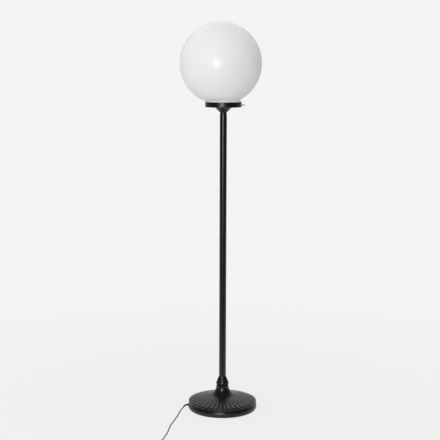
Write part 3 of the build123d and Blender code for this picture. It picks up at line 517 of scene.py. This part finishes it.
spin_round(foot, steps=144)
print("foot outline", len(foot_outline), "points")

# %% [markdown]
# ### Thirty-six reeds
#
# A reed is a low rounded rib that widens towards the rim, fades out where the flare begins, and
# has a softly rounded outer end. A displacement of the dish could raise all reeds at once, but
# their grooves are sharp, and it would need very many faces. So one reed starts as a flat grid.
# Each of its vertices is then moved: along the grid it goes out from the flare, and across it the
# reed is arched, with its outermost columns sunk into the dish. Spin with duplicates sets the
# finished reed round the foot.

# %% One reed and its copies
REED_COUNT = 36
REED_GAP = 1.2
REED_HEIGHT = 2.7
REED_START_HEIGHT = 0.05
REED_SHOULDER = 0.3         # the share of its height that a reed has at its sides
REED_ROOT = 2.4             # how deep it goes into the dish
REED_ACROSS = 13
# How far along the reed each row lies, and how much of its height is left there.
REED_ROWS = [(0, 1), (0.1, 1), (0.25, 1), (0.4, 1), (0.55, 1), (0.7, 1), (0.85, 1), (0.955, 1),
             (0.975, 0.96), (0.988, 0.84), (0.996, 0.62), (1, 0.2)]

reed = bmesh.new()
bmesh.ops.create_grid(reed, x_segments=len(REED_ROWS) - 1, y_segments=REED_ACROSS - 1, size=1)
for vertex in reed.verts:
    row = round((vertex.co.x + 1) / 2 * (len(REED_ROWS) - 1))
    column = round((vertex.co.y + 1) / 2 * (REED_ACROSS - 1))
    along, left = REED_ROWS[row]
    radius = REED_START + along * (REED_END - REED_START)
    half_width = math.pi * radius / REED_COUNT - REED_GAP / 2
    height = (REED_START_HEIGHT + along * REED_HEIGHT) * left
    if column in (0, REED_ACROSS - 1):
        across = math.copysign(1, vertex.co.y)
        lift = -REED_ROOT
    else:
        across = 2 * (column - 1) / (REED_ACROSS - 3) - 1
        arched = math.sqrt(max(1 - across ** 2, 0))
        lift = height * (REED_SHOULDER + (1 - REED_SHOULDER) * arched)
    vertex.co = Vector((radius, across * half_width, dish_height(radius) + lift)) * MM
border = [edge for edge in reed.edges if edge.is_boundary]
bmesh.ops.holes_fill(reed, edges=border, sides=0)
bmesh.ops.recalc_face_normals(reed, faces=reed.faces)
bmesh.ops.spin(reed, geom=reed.verts[:] + reed.edges[:] + reed.faces[:], axis=(0, 0, 1),
               cent=(0, 0, 0), steps=REED_COUNT - 1,
               angle=2 * math.pi * (REED_COUNT - 1) / REED_COUNT, use_duplicate=True)
reeds = bpy.data.meshes.new("reeds")
reed.to_mesh(reeds)
reed.free()
foot.from_mesh(reeds)
reeded_foot = settle("reeded_foot", foot, sharp=50)
stands_for(reeded_foot, "stand", cast_black, "black_metal", "base_casting")

# %% [markdown]
# ## Collar and tube
#
# The collar is turned: a spigot that leaves a dark groove over the foot, a bead, a hollow, one
# fine ring and a cone. Its outline is a chain of arcs, as a turner's template would be. The tube
# is plain, and its top end is drawn in a little where the cup sits on it. A cylinder would do for
# most of it, but the outline gives it its bore and the drawn end in one go.

# %% Collar
TUBE_RADIUS = 15.15
TUBE_BORE = 13.65
TUBE_FOOT = 127.5
COLLAR_TOP = 144
COLLAR_BORE = 15.25
SPIGOT_RADIUS = 25.2
SPIGOT_TOP = 106.4

collar_outline = [(BORE_RADIUS, FOOT_TOP), (SPIGOT_RADIUS, FOOT_TOP)]
collar_outline += arc((SPIGOT_RADIUS, SPIGOT_TOP), (27.8, 113), (26.9, 119.6), steps=10)
collar_outline += arc((26.9, 119.6), (24.1, 125.2), (21.8, 131), steps=6)[1:]
collar_outline += arc((21.8, 131), (22.1, 132), (21.3, 132.9), steps=5)[1:]
collar_outline += arc((21.3, 132.9), (19, 137.6), (16.9, COLLAR_TOP), steps=6)[1:]
collar_outline += [(COLLAR_BORE, COLLAR_TOP), (COLLAR_BORE, TUBE_FOOT),
                   (BORE_RADIUS, TUBE_FOOT)]
collar = outline_form(collar_outline)
spin_round(collar)
stands_for(settle("turned_collar", collar), "stand", black_paint, "black_metal", "collar")

# %% Tube
TUBE_DRAWN_FROM = 1296.4
TUBE_TOP = 1311.4
TUBE_RINGS = (400, 700, 1000)    # heights of rings that part the long faces

tube_outline = [(TUBE_BORE, TUBE_FOOT), (TUBE_RADIUS, TUBE_FOOT)]
tube_outline += [(TUBE_RADIUS, height) for height in TUBE_RINGS]
tube_outline += arc((TUBE_RADIUS, TUBE_DRAWN_FROM), (14.6, 1304.9), (13.4, TUBE_TOP), steps=6)
tube_outline += arc((11.9, TUBE_TOP), (13.1, 1304.9), (TUBE_BORE, TUBE_DRAWN_FROM), steps=6)
tube = outline_form(tube_outline)
spin_round(tube, steps=64)
stands_for(settle("long_tube", tube), "stand", black_paint, "black_metal", "pole")

# %% [markdown]
# ## The cup
#
# The cup is turned from solid metal. It sits on the tube's drawn end, goes up in two rounded steps
# and carries the gallery. It is one outline again, and a lower angle keeps its small steps crisp.

# %% Cup
GALLERY_BOTTOM = 1332.8

cup_outline = [(BORE_RADIUS, TUBE_TOP), (14.2, TUBE_TOP), (18.2, 1312.4), (19.6, 1314.8),
               (21, 1315.3)]
cup_outline += arc((21, 1315.3), (22.7, 1318.9), (25.8, 1321.4), steps=6)[1:]
cup_outline += arc((28.4, 1321.9), (31.2, 1326.8), (35.2, 1330.4), steps=6)
cup_outline += [(36.4, 1331.6), (36.4, GALLERY_BOTTOM), (BORE_RADIUS, GALLERY_BOTTOM)]
cup = outline_form(cup_outline)
spin_round(cup)
stands_for(settle("cup", cup, sharp=28), "stand", black_paint, "black_metal", "stepped_cup")

# %% [markdown]
# ## The gallery
#
# The gallery is a shallow dish of spun sheet with a rolled edge, in which the globe's neck stands.
# Its wall and floor could be one turned form, but the floor has six air holes. Booleans could cut
# them. Here the floor is a plate of its own, which leaves cleaner faces: the Triangle Fill operator
# keeps the holes open when it fills the plate between its edges, and an extrusion gives the sheet
# its thickness.

# %% The gallery's wall
GALLERY_FLOOR = 1334
GALLERY_TOP = 1355.4
WALL_RADIUS = 78
WALL_INSIDE = 76.8
WALL_CORNER_CUT = 2.4       # how far the corner under the wall is rounded
PLATE_RADIUS = 70
GALLERY_SIDES = 128

wall_outline = [(PLATE_RADIUS, GALLERY_BOTTOM), (WALL_RADIUS, GALLERY_BOTTOM)]
wall_corner = len(wall_outline) - 1
wall_outline += arc((WALL_RADIUS, 1353.6), (78.9, 1354.5), (WALL_RADIUS, GALLERY_TOP), steps=8)
wall_outline += [(WALL_INSIDE, GALLERY_TOP), (WALL_INSIDE, GALLERY_FLOOR),
                 (PLATE_RADIUS, GALLERY_FLOOR)]
gallery = outline_form(wall_outline, [(wall_corner, WALL_CORNER_CUT)])
spin_round(gallery, steps=GALLERY_SIDES)
print("gallery wall", len(gallery.faces), "faces")

# %% The gallery's floor
AIR_HOLES = 6
AIR_HOLE_RADIUS = 4.5
AIR_HOLE_CIRCLE = 50

plate = bmesh.new()
rings = [(0, 0, PLATE_RADIUS, GALLERY_SIDES), (0, 0, BORE_RADIUS, 32)]
for hole in range(AIR_HOLES):
    angle = 2 * math.pi * hole / AIR_HOLES
    rings.append((AIR_HOLE_CIRCLE * math.cos(angle), AIR_HOLE_CIRCLE * math.sin(angle),
                  AIR_HOLE_RADIUS, 24))
for x, y, radius, sides in rings:
    bmesh.ops.create_circle(plate, segments=sides, radius=radius * MM,
                            matrix=Matrix.Translation((x * MM, y * MM, GALLERY_BOTTOM * MM)))
bmesh.ops.triangle_fill(plate, edges=plate.edges[:], use_beauty=True, normal=(0, 0, 1))
extruded = bmesh.ops.extrude_face_region(plate, geom=plate.faces[:], use_keep_orig=True)
raised = [item for item in extruded["geom"] if isinstance(item, bmesh.types.BMVert)]
bmesh.ops.translate(plate, vec=(0, 0, (GALLERY_FLOOR - GALLERY_BOTTOM) * MM), verts=raised)
bmesh.ops.recalc_face_normals(plate, faces=plate.faces)
floor_plate = bpy.data.meshes.new("gallery_plate")
plate.to_mesh(floor_plate)
plate.free()
gallery.from_mesh(floor_plate)
stands_for(settle("spun_gallery", gallery), "stand", black_paint, "black_metal", "gallery")

# %% [markdown]
# ### Thumb screws
#
# Three small screws go through the gallery's wall and hold the globe's neck. Each has a slim
# tapered head whose grip is fluted. Flutes could be cut with a boolean, but on a piece this small
# a simpler way is enough: after the spin, every second line of the head's vertices is pulled in
# towards the screw's axis. The screw is made along X, then turned and lifted to its place.

# %% Thumb screws
SCREW_HEIGHT = 1342.2
SCREW_TIP = 76.3
HEAD_START = 80
HEAD_END = 92.4
SCREW_FLUTES = 16
FLUTE_DEPTH = 0.14          # of the head's radius

for number, turned_by in enumerate((0, 120, 240), start=1):
    screw = bmesh.new()
    line = [(SCREW_TIP, 0), (SCREW_TIP, 1.6), (HEAD_START, 1.6), (HEAD_START, 2.2),
            (HEAD_START + 0.3, 2.4), (HEAD_START + 3, 2.18), (HEAD_END - 1, 1.48),
            (HEAD_END, 1.3), (HEAD_END + 0.4, 1), (HEAD_END + 0.4, 0)]
    points = [screw.verts.new((along * MM, 0, away * MM)) for along, away in line]
    for point, following in zip(points, points[1:]):
        screw.edges.new((point, following))
    bmesh.ops.spin(screw, geom=screw.verts[:] + screw.edges[:], axis=(1, 0, 0),
                   cent=(0, 0, 0), steps=2 * SCREW_FLUTES, angle=2 * math.pi, use_merge=True)
    bmesh.ops.remove_doubles(screw, verts=screw.verts, dist=MERGE_WITHIN * MM)
    bmesh.ops.recalc_face_normals(screw, faces=screw.faces)
    for vertex in screw.verts:
        line_number = round(math.atan2(vertex.co.y, vertex.co.z) / math.pi * SCREW_FLUTES)
        if line_number % 2 and (HEAD_START + 0.5) * MM < vertex.co.x < HEAD_END * MM:
            vertex.co.y *= 1 - FLUTE_DEPTH
            vertex.co.z *= 1 - FLUTE_DEPTH
    bmesh.ops.rotate(screw, cent=(0, 0, 0), verts=screw.verts,
                     matrix=Matrix.Rotation(math.radians(turned_by), 3, "Z"))
    bmesh.ops.translate(screw, vec=(0, 0, SCREW_HEIGHT * MM), verts=screw.verts)
    stands_for(settle(f"fluted_screw_{number}", screw, sharp=60), f"screw_{number}",
               black_paint, "black_metal", f"thumb_screw_{number}")

# %% [markdown]
# ## The opal globe
#
# The globe is blown in one piece with its neck, and it is open below. It could start from a
# sphere that is cut open, but an outline gives the sphere, its neck and its 3 mm wall in one go:
# it goes up outside and comes down inside. The blown sphere isn't quite over its neck: it stands
# about a centimetre to the left. So the whole form is turned about one axis first, and then
# everything over the neck is moved sideways, with an easy passage through the narrow part.

# %% Globe
GLOBE_RADIUS = 175
GLOBE_WALL = 3
GLOBE_HEIGHT = 1518.5
GLOBE_SHIFT = -11.5
GLOBE_NECK = 76
GLOBE_SIDE_STEPS = 64
SEAM_CUT_OUTSIDE = 1.8      # how far the corner between neck and sphere is rounded
SEAM_CUT_INSIDE = 2.6
SHIFT_FROM = 1356
SHIFT_TO = 1369


def sphere_side(radius, neck, steps):
    """Points of the sphere's outline, from its neck up over its side to its top."""
    lowest = math.asin(neck / radius)
    return [(radius * math.sin(angle), GLOBE_HEIGHT - radius * math.cos(angle))
            for angle in (lowest + (math.pi - lowest) * step / steps for step in range(steps + 1))]


outside = sphere_side(GLOBE_RADIUS, GLOBE_NECK, GLOBE_SIDE_STEPS)
inside = sphere_side(GLOBE_RADIUS - GLOBE_WALL, GLOBE_NECK - GLOBE_WALL, GLOBE_SIDE_STEPS)
globe_outline = [(GLOBE_NECK, GALLERY_FLOOR)] + outside + inside[::-1]
globe_outline += [(GLOBE_NECK - GLOBE_WALL, GALLERY_FLOOR)]
seam_outside = 1
seam_inside = len(outside) + len(inside)
globe = outline_form(globe_outline,
                     [(seam_outside, SEAM_CUT_OUTSIDE), (seam_inside, SEAM_CUT_INSIDE)])
spin_round(globe, steps=128)
for vertex in globe.verts:
    eased = min(max((vertex.co.z / MM - SHIFT_FROM) / (SHIFT_TO - SHIFT_FROM), 0), 1)
    vertex.co.x += GLOBE_SHIFT * MM * eased ** 2 * (3 - 2 * eased)
stands_for(settle("blown_globe", globe), "glass_globe", opal_glass, "opal_glass", "globe")

# %% [markdown]
# ## Small mouldings
#
# The strain relief, foot switch and plug are plastic mouldings. Their solids have the right
# shapes already, so each new piece is a copy of its solid, merged into one skin, with its flat
# areas dissolved into whole faces. On the switch's two shells and on the plug a small bevel then
# softens the sharp edges, as a mould does. The plug's pins and the bulb are copied in this way too.

# %% Mouldings and other copies of the solids
SKIN_MERGE_WITHIN = 0.005   # millimetres, for the solid's loose triangles
FLAT_WITHIN = 1             # degrees


def moulded(name, solid, body, material, slot, edge_round=0.0, sharp=35):
    """A merged copy of a solid with softly rounded edges, which stands for it."""
    form = bmesh.new()
    form.from_mesh(nodes[solid].data)
    bmesh.ops.remove_doubles(form, verts=form.verts, dist=SKIN_MERGE_WITHIN * MM)
    bmesh.ops.dissolve_limit(form, angle_limit=math.radians(FLAT_WITHIN), verts=form.verts,
                             edges=form.edges)
    if edge_round:
        edges = [edge for edge in form.edges
                 if edge.is_manifold and edge.calc_face_angle() > math.radians(sharp)]
        bmesh.ops.bevel(form, geom=edges, offset=edge_round * MM, offset_type="OFFSET",
                        segments=2, profile=0.5, affect="EDGES", material=-1,
                        clamp_overlap=True)
    stands_for(settle(name, form, sharp), body, material, slot, solid)


moulded("strain_relief", "cord_gland", "stand", black_moulding, "black_plastic")
moulded("switch_underside", "switch_base", "stand", black_moulding, "black_plastic", 0.25)
moulded("switch_top", "switch_cover", "stand", black_moulding, "black_plastic", 0.25)
moulded("foot_switch_button", "switch_button", "foot_button", black_moulding, "black_plastic")
moulded("plug_moulding", "plug_body", "stand", black_moulding, "black_plastic", 0.5)
moulded("plug_pin_pair", "plug_pins", "stand", brass, "brass")
moulded("pin_sleeve_pair", "pin_sleeves", "stand", black_moulding, "black_plastic")
moulded("bulb", "bulb_glass", "bulb", frosted_glass, "bulb_glass")

# %% [markdown]
# ### The flex and what is on it
#
# The first length of flex ends in the foot switch, and the second in the plug.

print("the first length ends in the foot switch, the second in the plug")

# %% [markdown]
# ## The studio
#
# The photograph was taken in front of a bright white backdrop, in a room that is darker behind
# the camera. Black paint shows this well: it looks deep black where it faces the camera, and grey
# where it is seen at a low angle and mirrors the backdrop. Such a room could be built of cards and
# lamps. Here the world and the floor stand for it, because a Light Path node lets each kind of
# ray meet its own version of them: the camera sees one plain tone, matt surfaces are lit by a soft
# sky, and mirror images show a room with a bright screen at its back.

# %% Helpers for the studio


def combine(tree, operation, first, second):
    """The result of a math node on one socket and a second socket or number."""
    node = tree.nodes.new("ShaderNodeMath")
    node.operation = operation
    tree.links.new(first, node.inputs[0])
    if isinstance(second, bpy.types.NodeSocket):
        tree.links.new(second, node.inputs[1])
    else:
        node.inputs[1].default_value = second
    return node.outputs["Value"]


def mixed(tree, share, first, second):
    """Two shaders mixed, share being how much of the second there is."""
    node = tree.nodes.new("ShaderNodeMixShader")
    for socket, source in zip(node.inputs, (share, first, second)):
        tree.links.new(source, socket)
    return node.outputs["Shader"]


def grey(level):
    """A neutral colour."""
    return (level, level, level, 1)


print("helpers for the studio are ready")

# %% [markdown]
# ### The floor
#
# The floor is one large square with a matt grey paint that catches the lamp's shadow. Its white
# isn't paint: a plain emission is laid over it, almost whole near the lamp, where the shadow has to
# show, and whole further off, where floor and backdrop become one. Only the camera and mirror
# images meet this emission, so it lights no matt surface. Mirror images find it dim in front, like
# the room there.

# %% Floor
FLOOR_SIZE = 16
FLOOR_GREY = 0.5
FLOOR_ROUGHNESS = 0.9

floor_mesh = bmesh.new()
bmesh.ops.create_grid(floor_mesh, x_segments=1, y_segments=1, size=FLOOR_SIZE / 2)
floor_data = bpy.data.meshes.new("floor")
floor_mesh.to_mesh(floor_data)
floor_mesh.free()
floor = bpy.data.objects.new("floor", floor_data)
bpy.context.scene.collection.objects.link(floor)
floor_paint, shader = finish("floor_paint", (FLOOR_GREY,) * 3, FLOOR_ROUGHNESS,
                             Specular_IOR_Level=0.0)
floor_data.materials.append(floor_paint)
print("floor", FLOOR_SIZE, "m square")

# %% The floor's plain tone
BACKDROP_GREY = 0.9              # what the camera sees where the floor ends
PLAIN_SHARE = (0.88, 1)          # how much of that tone the floor has near the lamp and far off
PLAIN_SPAN = (0.15, 2.2)         # metres from the tube over which the share grows
FRONT_LEVELS = (0.15, 1)         # the tone's brightness in mirror images, in front and at the lamp
FRONT_SPAN = (-1.2, -0.3)        # metres along Y over which that brightness grows

tree = floor_paint.node_tree
place = tree.nodes.new("ShaderNodeTexCoord").outputs["Object"]
distance = tree.nodes.new("ShaderNodeVectorMath")
distance.operation = "LENGTH"
tree.links.new(place, distance.inputs[0])
apart = tree.nodes.new("ShaderNodeSeparateXYZ")
tree.links.new(place, apart.inputs["Vector"])
ray = tree.nodes.new("ShaderNodeLightPath").outputs
plain = tree.nodes.new("ShaderNodeEmission")
plain.inputs["Color"].default_value = grey(BACKDROP_GREY)
in_front = graded(tree, apart.outputs["Y"], FRONT_SPAN, FRONT_LEVELS)
tree.links.new(combine(tree, "MAXIMUM", in_front, ray["Is Camera Ray"]), plain.inputs["Strength"])
seen = combine(tree, "MAXIMUM", ray["Is Camera Ray"], ray["Is Glossy Ray"])
near = graded(tree, distance.outputs["Value"], PLAIN_SPAN, PLAIN_SHARE)
floor_look = mixed(tree, combine(tree, "MULTIPLY", near, seen), shader.outputs["BSDF"],
                   plain.outputs["Emission"])
tree.links.new(floor_look, tree.nodes["Material Output"].inputs["Surface"])
print("floor tone", BACKDROP_GREY, "with a share from", PLAIN_SHARE[0], "to", PLAIN_SHARE[1])

# %% [markdown]
# ### The sky that lights the lamp
#
# Matt surfaces gather light from all round, so for them the sky only has to be bright behind the
# lamp and overhead, and dim in front. How well a direction agrees with the bright side is their
# dot product, and that grades the sky from dim to bright.

# %% Sky
SKY_LEVELS = (0.08, 1.17)
SKY_SPAN = (-0.4, 0.35)              # of the dot product
BRIGHT_SIDE = (-0.13, 0.42, 0.38)    # a longer arrow would make the sky's edge sharper

world = bpy.data.worlds.new("studio")
world.use_nodes = True
bpy.context.scene.world = world
tree = world.node_tree
sky = tree.nodes["Background"]
sky.inputs["Color"].default_value = grey(1)
look = tree.nodes.new("ShaderNodeTexCoord").outputs["Generated"]
towards = tree.nodes.new("ShaderNodeVectorMath")
towards.operation = "DOT_PRODUCT"
towards.inputs[1].default_value = BRIGHT_SIDE
tree.links.new(look, towards.inputs[0])
tree.links.new(graded(tree, towards.outputs["Value"], SKY_SPAN, SKY_LEVELS), sky.inputs["Strength"])
print("sky from", SKY_LEVELS[0], "to", SKY_LEVELS[1])

# %% [markdown]
# ### The room in mirror images
#
# The tube, foot and globe mirror the room softly. What they show in the photograph is a bright
# screen at the back, brightest about forty degrees up and at an end over fifty, and a dim room all
# round. A gradient towards the back, times a ramp over height, paints that screen.

# %% Mirrored room
SCREEN_BRIGHT = 1.5
SCREEN_SPAN = (0.3, 0.75)            # how far to the back a direction points, from edge to full
# The screen's grey by how high a direction points, from level (0) to straight up (1).
SCREEN_GREYS = [(0, 0.37), (0.45, 0.45), (0.6, 1), (0.68, 0.9), (0.78, 0.04)]
ROOM_DIM = 0.06
ROOM_COLOUR = (1, 0.985, 0.97, 1)

apart = tree.nodes.new("ShaderNodeSeparateXYZ")
tree.links.new(look, apart.inputs["Vector"])
by_height = tree.nodes.new("ShaderNodeValToRGB")
stops = by_height.color_ramp.elements
for stop, (height, level) in zip(stops, (SCREEN_GREYS[0], SCREEN_GREYS[-1])):
    stop.position = height
    stop.color = grey(level)
for height, level in SCREEN_GREYS[1:-1]:
    stops.new(height).color = grey(level)
tree.links.new(apart.outputs["Z"], by_height.inputs["Fac"])
at_back = graded(tree, apart.outputs["Y"], SCREEN_SPAN, (0, SCREEN_BRIGHT))
screen = combine(tree, "MULTIPLY", by_height.outputs["Color"], at_back)
room = tree.nodes.new("ShaderNodeBackground")
room.inputs["Color"].default_value = ROOM_COLOUR
tree.links.new(combine(tree, "ADD", screen, ROOM_DIM), room.inputs["Strength"])
print("mirrored screen up to", SCREEN_BRIGHT, "in a room of", ROOM_DIM)

# %% [markdown]
# ### Each ray its own world
#
# Each output of a Light Path node is 1 for its own kind of ray and 0 for the others, and a Mix
# Shader takes its second shader where its factor is 1. So two mixes in a row give the camera the
# plain backdrop, glossy rays the mirrored room, and all others the sky.

# %% World
backdrop = tree.nodes.new("ShaderNodeBackground")
backdrop.inputs["Color"].default_value = grey(BACKDROP_GREY)
ray = tree.nodes.new("ShaderNodeLightPath").outputs
around = mixed(tree, ray["Is Glossy Ray"], sky.outputs["Background"], room.outputs["Background"])
world_look = mixed(tree, ray["Is Camera Ray"], around, backdrop.outputs["Background"])
tree.links.new(world_look, tree.nodes["World Output"].inputs["Surface"])
print("backdrop grey", BACKDROP_GREY)

# %% [markdown]
# ### One soft lamp
#
# A square lamp left of the camera lights the front. A sun would throw hard shadows, and a point
# would make a small sharp highlight. This one is over a metre wide, so the shadow is soft, and its
# mirror image is the small bright patch near the middle of the globe.

# %% Key lamp
KEY_PLACE = Vector((-0.75, -4.3, 1.58))
KEY_AIM = Vector((0, 0, 1))
KEY_SIZE = 1.15
KEY_POWER = 101

key_data = bpy.data.lights.new("key", "AREA")
key_data.shape = "SQUARE"
key_data.size = KEY_SIZE
key_data.energy = KEY_POWER
key_lamp = bpy.data.objects.new("key", key_data)
bpy.context.scene.collection.objects.link(key_lamp)
facing = (KEY_AIM - KEY_PLACE).to_track_quat("-Z", "Y")
key_lamp.matrix_world = Matrix.Translation(KEY_PLACE) @ facing.to_matrix().to_4x4()
print("key lamp", KEY_POWER, "W")

# %% [markdown]
# ## Finish
#
# The view transform is Standard, because it shows each colour as it was written.

# %% Finish
bpy.context.scene.view_settings.view_transform = "Standard"
print("view transform", bpy.context.scene.view_settings.view_transform)
